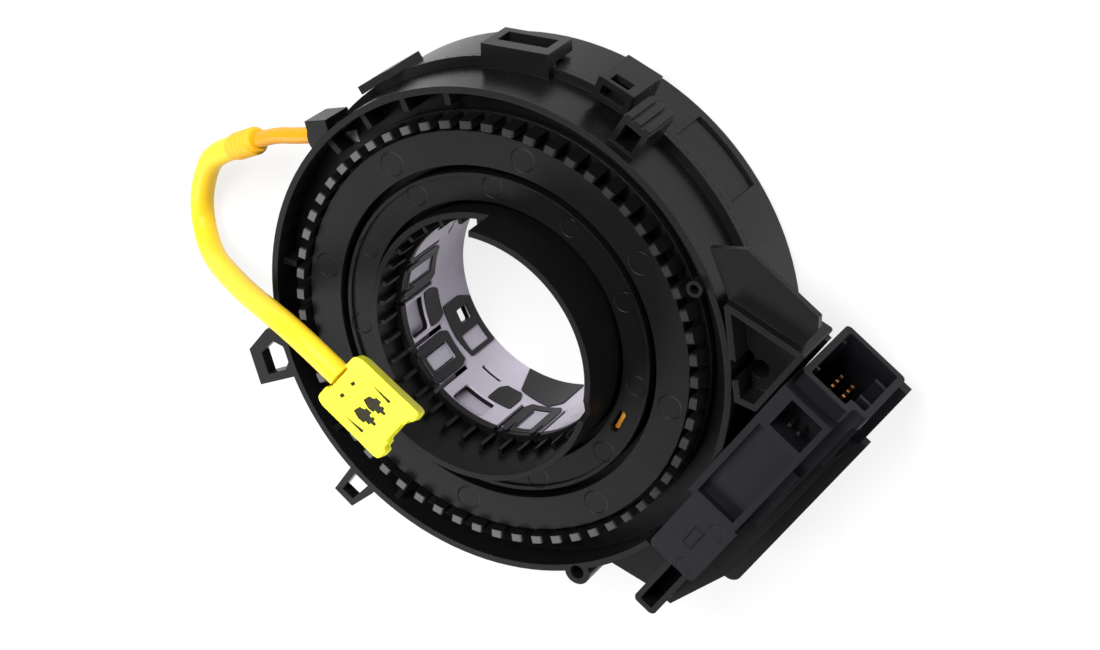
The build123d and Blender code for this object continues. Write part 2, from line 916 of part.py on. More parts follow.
def make_wheel_rotor():
    """Wheel side rotor: bore tube with snap frames, dish, cable drum and outer flange."""
    step_radius = window_radius - window_gap
    body = turned([
        (bore_radius, 0),
        (tube_outer, 0),
        (tube_outer, dish_floor),
        (dish_radius, dish_floor),
        (dish_radius, rotor_face),
        (step_radius, rotor_face),
        (step_radius, flange_foot),
        (flange_radius, flange_foot),
        (flange_radius, flange_foot + flange_thickness),
        (dish_radius + dish_wall, flange_foot + flange_thickness),
        (dish_radius + dish_wall, chamber_floor),
        (drum_radius + drum_wall, chamber_floor),
        (drum_radius + drum_wall, column_floor),
        (drum_radius, column_floor),
        (drum_radius, chamber_floor),
        (tube_outer, chamber_floor),
        (tube_outer, tube_top),
        (bore_radius, tube_top),
    ])
    rib_foot = dish_floor - dish_rib_height
    for number in range(dish_ribs):
        angle = (number + 0.5) * 360 / dish_ribs
        near = tube_outer - rib_merge
        body += spoke(near, dish_radius + rib_merge, dish_rib, angle, rib_foot, dish_floor + rib_merge)
    for angle in drive_slot_places:
        half = drive_slot_angle / 2
        near = tube_outer + drive_slot_inner
        body -= sector(near, drum_radius - drive_slot_outer, angle - half, angle + half, 0, chamber_floor)
    inside = bore_radius - tube_wall
    outside = tube_outer + tube_wall / 2
    for angle in snap_angles:
        body -= pane(snap_width, snap_height, snap_corner, angle, snap_middle, inside, outside)
        for side in (-1, 1):
            middle = side * snap_frame / 2
            slit = block(inside, outside, middle - snap_slit / 2, middle + snap_slit / 2, snap_foot, tube_top)
            body -= Rot(0, 0, angle) * slit
    for angle in opening_angles:
        opening = pane(opening_width, opening_height, opening_corner, angle, opening_middle, inside, outside)
        body -= opening
    for angle in groove_angles:
        body -= pane(groove_width, groove_height, groove_height / 3, angle, groove_middle, inside, outside)
    for angle in peep_angles:
        body -= pane(peep_width, peep_height, snap_corner, angle, peep_middle, inside, tube_outer)
    return body


def make_column_rotor():
    """Column side rotor: sleeve with its stepped rim, trench, ring and the flange under the slit ring."""
    body = turned([
        (sleeve_inner, sleeve_foot),
        (sleeve_outer, sleeve_foot),
        (sleeve_outer, column_floor),
        (column_flange_radius, column_floor),
        (column_flange_radius, slit_foot),
        (ring_radius, slit_foot),
        (ring_radius, ring_height + ring_lip),
        (ring_radius - 2 * ring_lip, ring_height + ring_lip),
        (ring_radius - 2 * ring_lip, ring_height),
        (ring_inner, ring_height),
        (ring_inner, slit_foot),
        (sleeve_outer, slit_foot),
        (sleeve_outer, tall_rim),
        (sleeve_inner, tall_rim),
    ])
    body -= ring(ring_inner + ring_wall, ring_radius - ring_wall, slit_foot, ring_height - ring_thickness)
    body -= sector(bore_radius, ring_inner, tall_stop, tall_start + 360, low_rim, tall_rim + rim_margin)
    for number in range(sleeve_rib_count):
        angle = number * 360 / sleeve_rib_count
        inner = sleeve_inner - sleeve_rib_depth
        foot = tube_top + seat_gap
        body += spoke(inner, sleeve_inner + sleeve_merge, sleeve_rib, angle, foot, foot + sleeve_rib_height)
    nose_top = snap_middle + snap_height / 2 - seat_gap
    nose_width = snap_width - 2 * seat_gap
    for angle in snap_angles:
        nose_foot = nose_top - nose_height
        near = bore_radius + seat_gap
        body += spoke(near, sleeve_inner + sleeve_merge, nose_width, angle, nose_foot, nose_top)
    notch = make_face(Polyline(
        (-rim_notch_width / 2, tall_rim),
        (rim_notch_width / 2, tall_rim),
        (-rim_notch_width / 4, tall_rim - rim_notch_depth),
        close=True,
    ))
    notch_plane = Plane(origin=(0, 0, 0), x_dir=(0, 1, 0), z_dir=(1, 0, 0))
    body -= Rot(0, 0, rim_notch_angle) * extrude(notch_plane * notch, ring_radius)
    slot_radius = (ring_inner + ring_radius) / 2 - slot_setback
    slot = Rot(0, 0, slot_angle) * Pos(slot_radius, 0, ring_height) * extrude(
        SlotOverall(slot_length, slot_width, rotation=90), ring_thickness * 2, both=True
    )
    return body - slot


def make_cable_end_holder():
    """Orange block under the ring that holds the cable's inner end; it shows through the slot."""
    inner = ring_inner + ring_wall + seat_gap
    outer = ring_radius - ring_wall - seat_gap
    start = slot_angle - holder_half_angle
    stop = slot_angle + holder_half_angle
    return sector(inner, outer, start, stop, slit_foot, ring_height - ring_thickness)


def slat_profile():
    """Outline of a slat, as seen along a radius."""
    half = slat_width / 2
    foot = slit_foot + fence_flange / 2
    return [
        (-half, foot),
        (half, foot),
        (half, fence_top - slat_chamfer),
        (half - slat_chamfer, fence_top),
        (slat_chamfer - half, fence_top),
        (-half, fence_top - slat_chamfer),
    ]


def make_slit_ring():
    """Plate, stepped drum and the fence of slats on its flange."""
    body = turned([
        (ring_radius + sleeve_gap, slit_foot),
        (fence_outer + fence_foot, slit_foot),
        (fence_outer + fence_foot, slit_foot + fence_flange),
        (drum_step + drum_step_wall, slit_foot + fence_flange),
        (drum_step + drum_step_wall, plate_height - plate_thickness),
        (plate_outer, plate_height - plate_thickness),
        (plate_outer, plate_height),
        (plate_inner, plate_height),
        (plate_inner, plate_height - plate_thickness),
        (drum_step, plate_height - plate_thickness),
        (drum_step, slit_foot + fence_flange),
        (ring_radius + sleeve_gap, slit_foot + fence_flange),
    ])
    face = Plane(origin=(fence_inner, 0, 0), x_dir=(0, 1, 0), z_dir=(1, 0, 0)) * make_face(
        Polyline(*slat_profile(), close=True)
    )
    slat = extrude(face, fence_wall)
    slats = [Rot(0, 0, number * 360 / slat_count) * slat for number in range(slat_count)]
    return body + slats


def make_flat_cable():
    """Ribbon wound in half turns whose centres change sides."""
    first = drum_radius + drum_wall + cable_clearance + ribbon_thickness / 2
    last = shell_inner - cable_clearance - ribbon_thickness
    growth = (last - first) / ribbon_turns
    bottom = chamber_floor + sheet_thickness + cable_clearance / 2
    top = mid_plate_top - mid_plate - sheet_thickness - cable_clearance / 2
    cable = None
    for number in range(ribbon_turns):
        radius = first + number * growth
        half = ribbon_thickness / 2
        upper = sector(radius - half, radius + half, 0, 180, bottom, top)
        lower_radius = radius + growth / 2
        lower = sector(lower_radius - half, lower_radius + half, 180, 360, bottom, top)
        lower = Pos(growth / 2, 0, 0) * lower
        cable = upper + lower if cable is None else cable + upper + lower
    return cable


def make_lower_slide_sheet():
    """Low friction sheet on the dish."""
    inner = drum_radius + drum_wall + seat_gap
    outer = dish_radius + dish_wall - seat_gap
    return ring(inner, outer, chamber_floor, chamber_floor + sheet_thickness)


def make_upper_slide_sheet():
    """Low friction sheet under the mid plate."""
    top = mid_plate_top - mid_plate
    return ring(mid_plate_radius + seat_gap, shell_inner - seat_gap, top - sheet_thickness, top)


def make_wheel_connector(width, angle):
    """Connector with an open cavity that stands in the dish, its mouth towards the wheel."""
    low = (tube_outer + dish_radius - wheel_block_radial) / 2
    high = low + wheel_block_radial
    body = block(low, high, -width / 2, width / 2, rotor_face, dish_floor)
    body = chamfer(body.edges().filter_by(Axis.Z), wheel_block_wall / 2)
    body -= block(
        low + wheel_block_wall,
        high - wheel_block_wall,
        wheel_block_wall - width / 2,
        width / 2 - wheel_block_wall,
        rotor_face,
        rotor_face + wheel_cavity,
    )
    return Rot(0, 0, angle) * body


def make_wheel_terminals(count, angle):
    """Row of pins in a wheel side connector."""
    middle = (tube_outer + dish_radius) / 2
    root = rotor_face + wheel_cavity
    pins = pin_grid(1, count, middle, 0, pin_pitch, pin_pitch, root - wheel_pin_height, root)
    return Rot(0, 0, angle) * pins


def tube_along(points, diameter, name):
    """A round lead along straight runs joined by the largest arcs that they allow."""
    places = [Vector(*point) for point in points]
    radii = []
    for before, here, after in zip(places, places[1:], places[2:]):
        turn = (here - before).get_angle(after - here)
        shorter = min((here - before).length, (after - here).length)
        radii.append(corner_share * shorter / math.tan(math.radians(turn) / 2))
    path = FilletPolyline(*points, radius=radii)
    section = Plane(origin=path @ 0, z_dir=path % 0) * Circle(diameter / 2)
    lead = sweep(section, path=path)
    expected = math.pi * diameter**2 / 4 * path.length
    print(name, "radii", [round(radius, 1) for radius in radii])
    print(name, "length", round(path.length, 1), "volume ratio", round(lead.volume / expected, 4))
    return lead


def make_grommet():
    """Bush in the hood that the lead passes through."""
    frame = make_hood()[1]
    bush = frame * Pos(0, 0, -hood_length / 2) * Cylinder(grommet_radius, hood_length)
    flange = Cylinder(grommet_flange, grommet_flange_thickness)
    bush += frame * Pos(0, 0, grommet_flange_thickness / 2) * flange
    bore = core_diameter / 2 + grommet_bore_gap
    bush -= frame * Cylinder(bore, hood_length * 4)
    bush -= disc(shell_inner + seat_gap, 0, block_top)
    return bush - disc(case_radius + seat_gap, 0, skirt_height + lip_height + seat_gap)


def make_collar():
    """Tape wrap over the end of the sheath."""
    first, last = follow_case([core_route[-1], sheath_route[0]])
    start = Vector(*first)
    end = Vector(*last)
    along = end - start
    frame = Plane(origin=start, z_dir=along.normalized())
    length = along.length
    waist = (core_diameter + collar_diameter) / 4
    outline = Polyline(
        (0, 0),
        (waist, 0),
        (collar_diameter / 2, length * collar_start),
        (collar_diameter / 2, length * collar_stop),
        (sheath_diameter / 2 + collar_lift, length),
        (0, length),
        close=True,
    )
    return frame * revolve(Plane.XZ * make_face(outline), Axis.Z)


def plug_frame():
    """Middle of the connector's rear face, where the lead enters it, rolled as the connector lies."""
    return Pos(*follow_case(sheath_route[-1:])[0]) * Rot(plug_roll, 0, 0)


def make_lead_connector():
    """Yellow connector: rounded body with a window on top, slits, two wire holes and an open mouth."""
    top = plug_height / 2
    edge = plug_width / 2
    body = block(0, plug_length, -edge, edge, -top, top)
    body = fillet(body.edges().filter_by(Axis.Z).group_by(Axis.X)[0], plug_rear_corner)
    body = chamfer(body.edges().filter_by(Axis.X), plug_edge)
    body += block(
        plug_length - plug_lip_length,
        plug_length + plug_lip_reach,
        plug_lip_inset - edge,
        edge - plug_lip_inset,
        top - plug_lip_height,
        top,
    )
    for side in (-1, 1):
        body += plug_wing(side * edge)
        body -= Pos(plug_length / 4, side * wire_hole_side, top) * Cylinder(wire_hole, wire_hole_depth)
        body -= plug_slit(side * (edge - plug_slit_inset))
        middle = side * plug_pitch / 2
        half = plug_pitch / 2 - plug_cavity_gap
        body -= block(
            plug_length - plug_cavity,
            plug_length + plug_mouth,
            middle - half,
            middle + half,
            plug_cavity_low,
            plug_cavity_high,
        )
    half = plug_window / 2
    middle = plug_length / 2
    body -= block(middle - half, middle + half, -half, half, plug_window_floor, plug_height)
    return plug_frame() * body


def plug_wing(middle):
    """A small wing that stands out of a side of the connector near its mouth."""
    back = plug_length - wing_back
    front = plug_length - wing_front
    return block(back, front, middle - wing_reach, middle + wing_reach, -wing_rise, wing_rise)


def plug_slit(middle):
    """A shallow pointed slit in the top of the connector."""
    start = plug_length * plug_slit_start
    half = plug_slit_width / 2
    outline = [
        (start, middle),
        (start + plug_slit_length, middle + half),
        (start + plug_slit_length, middle - half),
    ]
    return prism(outline, plug_height / 2 - plug_slit_depth, plug_height / 2)


def make_shorting_clip():
    """Dark clip that stands in the connector's window."""
    half = plug_window / 2 - contact_gap
    arm = half - contact_arm
    outline = [
        (-half, -contact_half),
        (-half, -contact_shoulder),
        (-arm, -contact_waist),
        (-arm, contact_waist),
        (-half, contact_shoulder),
        (-half, contact_half),
        (half, contact_half),
        (half, contact_shoulder),
        (arm, contact_waist),
        (arm, -contact_waist),
        (half, -contact_shoulder),
        (half, -contact_half),
    ]
    clip = prism(outline, contact_foot, plug_height / 2 - contact_sink)
    return plug_frame() * Pos(plug_length / 2, 0, 0) * clip


def make_lead_terminals():
    """The two contacts in the connector."""
    low = plug_length - plug_cavity
    high = low + plug_terminal_length
    half = plug_terminal / 2
    contacts = []
    for side in (-1, 1):
        middle = side * plug_pitch / 2
        contacts.append(block(low, high, middle - half, middle + half, plug_terminal_low, plug_terminal_high))
    return plug_frame() * Compound(children=contacts)


def save(name, shape):
    """Writes one sub-part."""
    export_step(shape, os.path.join("parts", name + ".step"))
    print(name, "volume", round(shape.volume, 1))


save("wheel_case", make_wheel_case())
save("column_case", make_column_case())
save("sensor_housing", make_sensor_housing())
save("sensor_board", make_sensor_board())
save("photo_readers", make_photo_readers())
save("terminal_cover", make_terminal_cover())
save("terminal_block", make_terminal_block())
save("harness_shroud", make_harness_shroud())
save("harness_terminals", make_harness_terminals())
save("socket_terminals", make_socket_terminals())
save("block_cover", make_block_cover())
save("flat_cable", make_flat_cable())
save("upper_slide_sheet", make_upper_slide_sheet())
save("lead_grommet", make_grommet())
save("lead_core", tube_along(follow_case(core_route), core_diameter, "lead_core"))
save("lead_collar", make_collar())
save("lead_sheath", tube_along(follow_case(sheath_route), sheath_diameter, "lead_sheath"))
save("lead_connector", make_lead_connector())
save("shorting_clip", make_shorting_clip())
save("lead_terminals", make_lead_terminals())
save("wheel_rotor", make_wheel_rotor())
save("column_rotor", make_column_rotor())
save("slit_ring", make_slit_ring())
save("lower_slide_sheet", make_lower_slide_sheet())
save("cable_end_holder", make_cable_end_holder())
save("switch_connector", make_wheel_connector(wheel_block_width, switch_place))
save("airbag_connector", make_wheel_connector(airbag_block_width, airbag_place))
save("switch_terminals", make_wheel_terminals(switch_pins, switch_place))
save("airbag_terminals", make_wheel_terminals(airbag_pins, airbag_place))
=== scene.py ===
# %% [markdown]
# A steering clock spring: a round case, a hub that turns in it, a connector block and a short yellow lead.
# Its solids come ready made, so this lesson loads them first.
# Everything is in metres, in the same place as the solids, so nothing has to be fitted by eye.
# The bore's size and the height of the slats are asked of the solids too, and not typed in again.

# %% Load the solids
import json
import math
import bmesh
import bpy
from mathutils import Matrix, Vector


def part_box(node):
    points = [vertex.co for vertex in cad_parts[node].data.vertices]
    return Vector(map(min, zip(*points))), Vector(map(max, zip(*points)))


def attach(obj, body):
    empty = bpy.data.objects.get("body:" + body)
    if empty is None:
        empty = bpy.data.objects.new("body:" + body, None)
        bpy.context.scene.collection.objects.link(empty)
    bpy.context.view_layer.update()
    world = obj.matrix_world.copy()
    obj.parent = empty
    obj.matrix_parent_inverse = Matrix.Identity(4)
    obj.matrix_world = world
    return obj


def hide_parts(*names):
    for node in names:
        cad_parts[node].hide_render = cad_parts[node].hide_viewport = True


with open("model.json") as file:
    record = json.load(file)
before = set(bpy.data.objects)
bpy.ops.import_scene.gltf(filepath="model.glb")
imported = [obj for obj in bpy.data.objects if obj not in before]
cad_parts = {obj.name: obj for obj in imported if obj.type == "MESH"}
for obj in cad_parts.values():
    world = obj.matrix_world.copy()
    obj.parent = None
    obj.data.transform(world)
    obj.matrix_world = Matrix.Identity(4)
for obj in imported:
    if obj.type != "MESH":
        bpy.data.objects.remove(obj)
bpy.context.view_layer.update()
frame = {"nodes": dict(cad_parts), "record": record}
solids = frame["nodes"]
bore = next(mount["dims"] for mount in frame["record"]["mounts"] if mount["name"] == "shaft_bore")
bore_radius = bore["r_mm"] / 1000
bore_depth = bore["length_mm"] / 1000
slat_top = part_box("slit_ring")[1].z
print("solids", len(solids), "bore radius", bore_radius, "top of the slats", round(slat_top, 4))

# %% [markdown]
# The photograph looks down on the part from its steering column side, about 52 degrees above the table.
# A camera could be aimed by angles, but three directions say more: what is right, what is up, what is behind.
# These three were worked out from the ellipses of the bore and the rim, so they go in as one matrix.
# The lens is a long one, because the photograph has hardly any perspective.

# %% Camera
def into_scene(name, data):
    """A new object with this data, in the scene."""
    thing = bpy.data.objects.new(name, data)
    bpy.context.scene.collection.objects.link(thing)
    return thing


camera_place = Vector((0.0589, 0.3465, 0.4624))
camera_right = Vector((0.7207, 0.5046, -0.4754))
camera_up = Vector((-0.6869, 0.6128, -0.3907))
camera_back = Vector((0.0942, 0.6081, 0.7882))
lens = bpy.data.cameras.new("camera")
lens.sensor_width = 36
lens.lens = 98.18
lens.clip_start = 0.01
camera = into_scene("camera", lens)
turn = Matrix((camera_right, camera_up, camera_back)).transposed().to_4x4()
camera.matrix_world = Matrix.Translation(camera_place) @ turn
bpy.context.scene.camera = camera
print("camera", [round(v, 4) for v in camera.location])

# %% [markdown]
# Shader maths gets hard to read as a web of nodes, so one small class stands for a socket.
# Plain sums, differences, products and powers of it add the Math nodes, and a sum may begin with a number.

# %% Sockets that can be counted with
class Tone:
    """A shader socket that can be added, multiplied and compared."""

    def __init__(self, finish, socket):
        self.finish = finish
        self.socket = socket

    def work(self, operation, other=0.0):
        return self.finish.node("ShaderNodeMath", {"operation": operation}, {0: self, 1: other})

    def __add__(self, other):
        return self.work("ADD", other)

    def __sub__(self, other):
        return self.work("SUBTRACT", other)

    def __mul__(self, other):
        return self.work("MULTIPLY", other)

    def __pow__(self, other):
        return self.work("POWER", other)

    __radd__ = __add__


def length(first, second):
    """The length of a flat vector, from its two tones."""
    return (first * first + second * second) ** 0.5


def larger(first, second):
    """The higher of two tones."""
    return first.work("MAXIMUM", second)


print("tones ready")

# %% [markdown]
# A second class is one finish: a material with one method that adds any node.
# That method takes the node's type, its settings, and then the values or links of its sockets.
# Its other methods are short names for what every finish needs: places, noise, steps, mixing and relief.

# %% A finish, built up from nodes
class Finish:
    """One material, built up from nodes."""

    def __init__(self, name, **values):
        self.material = bpy.data.materials.new(name)
        self.material.use_nodes = True
        self.tree = self.material.node_tree
        self.shader = self.tree.nodes["Principled BSDF"]
        for socket, value in values.items():
            self.shader.inputs[socket.replace("_", " ")].default_value = value

    def node(self, kind, settings=None, sockets=None, output=0):
        """Any node, with its settings made first and its sockets after them."""
        node = self.tree.nodes.new(kind)
        for key, value in (settings or {}).items():
            setattr(node, key, value)
        for key, value in (sockets or {}).items():
            if isinstance(value, Tone):
                self.tree.links.new(value.socket, node.inputs[key])
            else:
                node.inputs[key].default_value = value
        return Tone(self, node.outputs[output])

    def feed(self, socket, tone):
        self.tree.links.new(tone.socket, self.shader.inputs[socket])

    def place(self):
        """Where a point of the surface is on the object, in metres."""
        return self.node("ShaderNodeTexCoord", output="Object")

    def split(self, vector):
        """The three numbers of a vector."""
        parts = self.node("ShaderNodeSeparateXYZ", {}, {0: vector})
        return [Tone(self, socket) for socket in parts.socket.node.outputs]

    def axes(self):
        """The three coordinates of a point of the surface."""
        return self.split(self.place())

    def noise(self, scale, detail=2.0, rough=0.5):
        sockets = {"Vector": self.place(), "Scale": scale, "Detail": detail, "Roughness": rough}
        return self.node("ShaderNodeTexNoise", {}, sockets)

    def step(self, tone, low, high):
        """0 at low, 1 at high and smooth between. Low may be the larger of the two."""
        sockets = {"Value": tone, "From Min": low, "From Max": high}
        return self.node("ShaderNodeMapRange", {"interpolation_type": "SMOOTHSTEP"}, sockets)

    def mix(self, factor, first, second):
        """A colour between two colours, which are sockets 6 and 7 of a Mix node."""
        return self.node("ShaderNodeMix", {"data_type": "RGBA"}, {0: factor, 6: first, 7: second}, output=2)

    def relief(self, height, round_edges=0.0):
        """Bumps of a height map in metres, on edges that are rounded by a radius."""
        sockets = {"Height": height, "Distance": 1.0, "Strength": 1.0}
        if round_edges:
            sockets["Normal"] = self.node("ShaderNodeBevel", {"samples": 4}, {"Radius": round_edges})
        self.feed("Normal", self.node("ShaderNodeBump", {}, sockets))


print("finishes ready")

# %% [markdown]
# The case, the hub and the blocks are glass-filled plastic from a mould with a fine spark-eroded grain.
# One flat black would do from afar, but the real one is greyer where handled and smoother where rubbed.
# So one function makes all the dark plastics, with the grain as bumps and the handling as soft masks.
# What only one of them has, such as pin marks or a polished bore with a painted reflection, is a small
# function handed to it.

# %% Dark moulded plastic
plastic_gloss = 0.15
plastic_grain = 0.00003
darker = (0.80, 0.79, 0.80)
paler = (1.40, 1.36, 1.40)
cloud_pale, rub_pale = 0.7, 0.3
cloud_rough, grit_rough, rub_polish = 0.12, 0.06, 0.05
rub_least, rub_most = 0.58, 0.74


def shaded(shade, share, tint):
    """A shade of grey times its shares of red, green and blue, with the blue tinted."""
    red, green, blue = share
    return (shade * red, shade * green, shade * blue * tint, 1)


def moulded(name, shade, roughness, edge=0.00022, tint=1.1, extras=()):
    """A dark plastic. Each extra changes its colour, its roughness and its relief."""
    finish = Finish(name, Specular_IOR_Level=plastic_gloss)
    cloud = finish.noise(scale=70.0, detail=4.0, rough=0.6)
    grit = finish.noise(scale=3200.0, rough=0.6)
    rub = finish.step(finish.noise(scale=260.0, detail=5.0, rough=0.7), rub_least, rub_most)
    handled = cloud * cloud_pale + rub * rub_pale
    colour = finish.mix(handled, shaded(shade, darker, tint), shaded(shade, paler, tint))
    rough = cloud * cloud_rough + grit * grit_rough - rub * rub_polish + roughness
    height = grit * plastic_grain
    for extra in extras:
        colour, rough, height = extra(finish, colour, rough, height)
    finish.feed("Base Color", colour)
    finish.feed("Roughness", rough)
    finish.relief(height, edge)
    return finish.material


print("plastic recipe ready")

# %% [markdown]
# Push pins lift a piece out of its mould and leave round marks: a shallow dish with a fine line round it.
# They could be cut into the mesh, but they are a tenth of a millimetre deep, so relief shows them as well.
# On the ring they stand evenly about the shaft, so the angle is cut in equal shares, one for each mark.

# %% Marks of the mould
mark_edge = 0.00012
mark_depth = 0.00006
groove_outer, groove_inner = 0.00022, 0.00006
groove_depth = 0.00008
line_outer, line_inner = 0.00017, 0.00008
line_depth = 0.0002
# The scribed line is painted near black as painted shade in its groove.
painted_groove_shade = (0.002, 0.002, 0.002, 1)


def groove(finish, away, radius):
    """A fine line at a radius round a middle that is this far away."""
    return finish.step((away - radius).work("ABSOLUTE"), groove_outer, groove_inner)


def pin_marks(count, first, radius, mark):
    """Round marks, evenly spaced on a circle about the shaft, with the first at an angle in degrees."""
    def extra(finish, colour, rough, height):
        x, y = finish.axes()[:2]
        shares = y.work("ARCTAN2", x) * (count / (2 * math.pi)) + (count * 2 + 0.5 - first * count / 360)
        aside = (shares.work("FRACT") - 0.5) * (2 * math.pi * radius / count)
        away = length(aside, length(x, y) - radius)
        inside = finish.step(away, mark + mark_edge, mark - mark_edge)
        return colour, rough, height - inside * mark_depth - groove(finish, away, mark) * groove_depth
    return extra


def round_mark(centre_x, centre_y, mark):
    """One round mark in a top face."""
    def extra(finish, colour, rough, height):
        x, y = finish.axes()[:2]
        away = length(x - centre_x, y - centre_y)
        return colour, rough, height - groove(finish, away, mark) * groove_depth
    return extra


def scribed(centre_x, centre_y, half_x, half_y):
    """A thin rectangular groove in a top face, painted darker as painted shade in the groove."""
    def extra(finish, colour, rough, height):
        x, y = finish.axes()[:2]
        over_x = (x - centre_x).work("ABSOLUTE") - half_x
        over_y = (y - centre_y).work("ABSOLUTE") - half_y
        line = finish.step(larger(over_x, over_y).work("ABSOLUTE"), line_outer, line_inner)
        return finish.mix(line, colour, painted_groove_shade), rough, height - line * line_depth
    return extra


print("marks ready")

# %% [markdown]
# Three surfaces differ from the grained plastic: the bore's wall, painted pale as a painted reflection,
# upright walls, and the slats' tips, painted paler with a painted highlight.
# Each could be a piece of its own with its own finish, but they are one moulding with what is beside them.
# So a mask finds them, by their distance from the shaft, their height or the way they face.

# %% Polished and upright surfaces, with a painted reflection and painted highlights
wall_fade, top_fade = 0.0002, 0.0003
# Painted reflection: the bore wall's pale colours stand in for light from the white floor, reflected in the
# open bore.
painted_reflection_dim = (0.40, 0.37, 0.44, 1)
painted_reflection_bright = (0.58, 0.54, 0.63, 1)
wall_polish = 0.12
most_slant, least_slant = 0.35, 0.15
upright_polish = 0.16
# The slats' tips are painted paler: a painted highlight, strongest on the side the light comes from.
tip_fade = 0.0001
tip_highlight_colour = (0.10, 0.094, 0.098, 1)
tip_polish = 0.05
unlit_side, lit_side = 0.020, -0.012
least_pale = 0.15


def polished_wall_painted_reflection(inner, outer, top):
    """The polished inside of a tube between two radii, up to a height, painted pale as a painted reflection.
    """
    def extra(finish, colour, rough, height):
        x, y, z = finish.axes()
        out = length(x, y)
        wall = finish.step(out, outer + wall_fade, outer) * finish.step(out, inner - wall_fade, inner)
        wall = wall * finish.step(z, top + top_fade, top)
        light = finish.mix(finish.noise(scale=60.0), painted_reflection_dim, painted_reflection_bright)
        return finish.mix(wall, colour, light), rough - wall * wall_polish, height
    return extra


def smooth_walls(finish, colour, rough, height):
    """Upright walls came off polished steel, so they are glossier than the grained faces."""
    facing_up = finish.split(finish.node("ShaderNodeNewGeometry", output="Normal"))[2]
    upright = finish.step(facing_up.work("ABSOLUTE"), most_slant, least_slant)
    return colour, rough - upright * upright_polish, height


def tips_with_painted_highlight(radius, top):
    """Tips of slats painted a paler grey: a little everywhere, and most on the side towards the light as a
    painted highlight.
    """
    def extra(finish, colour, rough, height):
        x, y, z = finish.axes()
        tip = finish.step(length(x, y), radius - tip_fade, radius) * finish.step(z, top - tip_fade, top)
        side = finish.step(x * 0.5 + y, unlit_side, lit_side)
        tip = tip * (side * (1 - least_pale) + least_pale)
        return finish.mix(tip, colour, tip_highlight_colour), rough - tip * tip_polish, height
    return extra


print("masks ready")

# %% [markdown]
# With the recipe and its extras, each dark piece gets its own plastic, a little different in shade and tint.
# The block and its lid are bluer than the case. The hub and its sleeve are the darkest, but for the polished
# bore, which is painted pale as a painted reflection, and the panels on that bore are a little paler, so that
# they stand out as the real ones do.

# %% Each dark piece's plastic
lid_marks = [
    scribed(centre_x=0.0528, centre_y=-0.0016, half_x=0.0010, half_y=0.0023),
    round_mark(centre_x=0.0553, centre_y=0.0025, mark=0.0017),
    round_mark(centre_x=0.0552, centre_y=-0.0079, mark=0.0017),
]
# The hub's bore and the sleeve's wall are painted pale as a painted reflection.
hub_looks = [polished_wall_painted_reflection(inner=0.0, outer=bore_radius + 0.0004, top=bore_depth - 0.0018)]
sleeve_looks = [
    polished_wall_painted_reflection(inner=bore_radius + 0.00172, outer=bore_radius + 0.002, top=bore_depth - 0.0015),
    pin_marks(count=11, first=27.8, radius=0.0297, mark=0.0020),
]
# The slats' tips get a painted highlight.
ring_looks = [
    pin_marks(count=8, first=25.5, radius=0.0370, mark=0.0023),
    tips_with_painted_highlight(radius=0.0412, top=slat_top - 0.0001),
]
case_plastic = moulded("case_plastic", shade=0.0055, roughness=0.34, extras=[smooth_walls])
block_plastic = moulded("block_plastic", shade=0.0065, roughness=0.38, tint=1.35)
lid_plastic = moulded("lid_plastic", shade=0.007, roughness=0.38, tint=1.45, extras=lid_marks)
hub_plastic = moulded("hub_plastic", shade=0.0045, roughness=0.32, extras=hub_looks)
sleeve_plastic = moulded("sleeve_plastic", shade=0.004, roughness=0.34, extras=sleeve_looks)
ring_plastic = moulded("ring_plastic", shade=0.0055, roughness=0.34, extras=ring_looks)
panel_plastic = moulded("panel_plastic", shade=0.016, roughness=0.30, edge=0.0001)
# The snap tabs are painted pale as a painted reflection, in windows too deep for the light to reach them.
tab_plastic = moulded("tab_plastic", shade=0.42, roughness=0.34, edge=0.0001, tint=1.12)
print("dark plastics ready")

# %% [markdown]
# The yellow parts are three different things: a rubbery sheath, a tape and a hard plug.
# One yellow would make them look like one piece, so they differ in roughness, in grain and in colour.
# The tape is wound on, and a sine along its direction gives the low ridges of its turns.

# %% Yellow finishes
yellow_gloss = 0.3
yellow_rough = 0.12
tape_pitch = 0.0016
tape_ridge = 0.00012
tape_direction = (-0.42, -0.845, -0.33)


def yellow(name, low, high, roughness, grain, scale, edge=0.0, turns=None):
    """A yellow between two colours. The turns of a tape run along a direction."""
    finish = Finish(name, Specular_IOR_Level=yellow_gloss)
    cloud = finish.noise(scale=90.0, detail=3.0, rough=0.55)
    grit = finish.noise(scale, rough=0.6)
    finish.feed("Base Color", finish.mix(cloud, low, high))
    finish.feed("Roughness", roughness + grit * yellow_rough)
    height = grit * grain
    if turns:
        vectors = {0: finish.place(), 1: turns}
        along = finish.node("ShaderNodeVectorMath", {"operation": "DOT_PRODUCT"}, vectors, output=1)
        height = height + (along * (2 * math.pi / tape_pitch)).work("SINE") * tape_ridge
    finish.relief(height, edge)
    return finish.material


sheath_yellow = yellow("sheath_yellow", (1.0, 0.60, 0.010, 1), (1.0, 0.72, 0.03, 1),
                       roughness=0.42, grain=0.00004, scale=900.0)
lead_yellow = yellow("lead_yellow", (0.72, 0.30, 0.003, 1), (0.84, 0.38, 0.008, 1),
                     roughness=0.38, grain=0.00003, scale=1100.0)
tape_yellow = yellow("tape_yellow", (0.92, 0.44, 0.004, 1), (1.0, 0.56, 0.02, 1),
                     roughness=0.5, grain=0.00008, scale=700.0, turns=tape_direction)
plug_yellow = yellow("plug_yellow", (0.94, 0.90, 0.02, 1), (1.0, 0.98, 0.06, 1),
                     roughness=0.42, grain=0.00002, scale=2400.0, edge=0.0003)
print("yellow finishes ready")

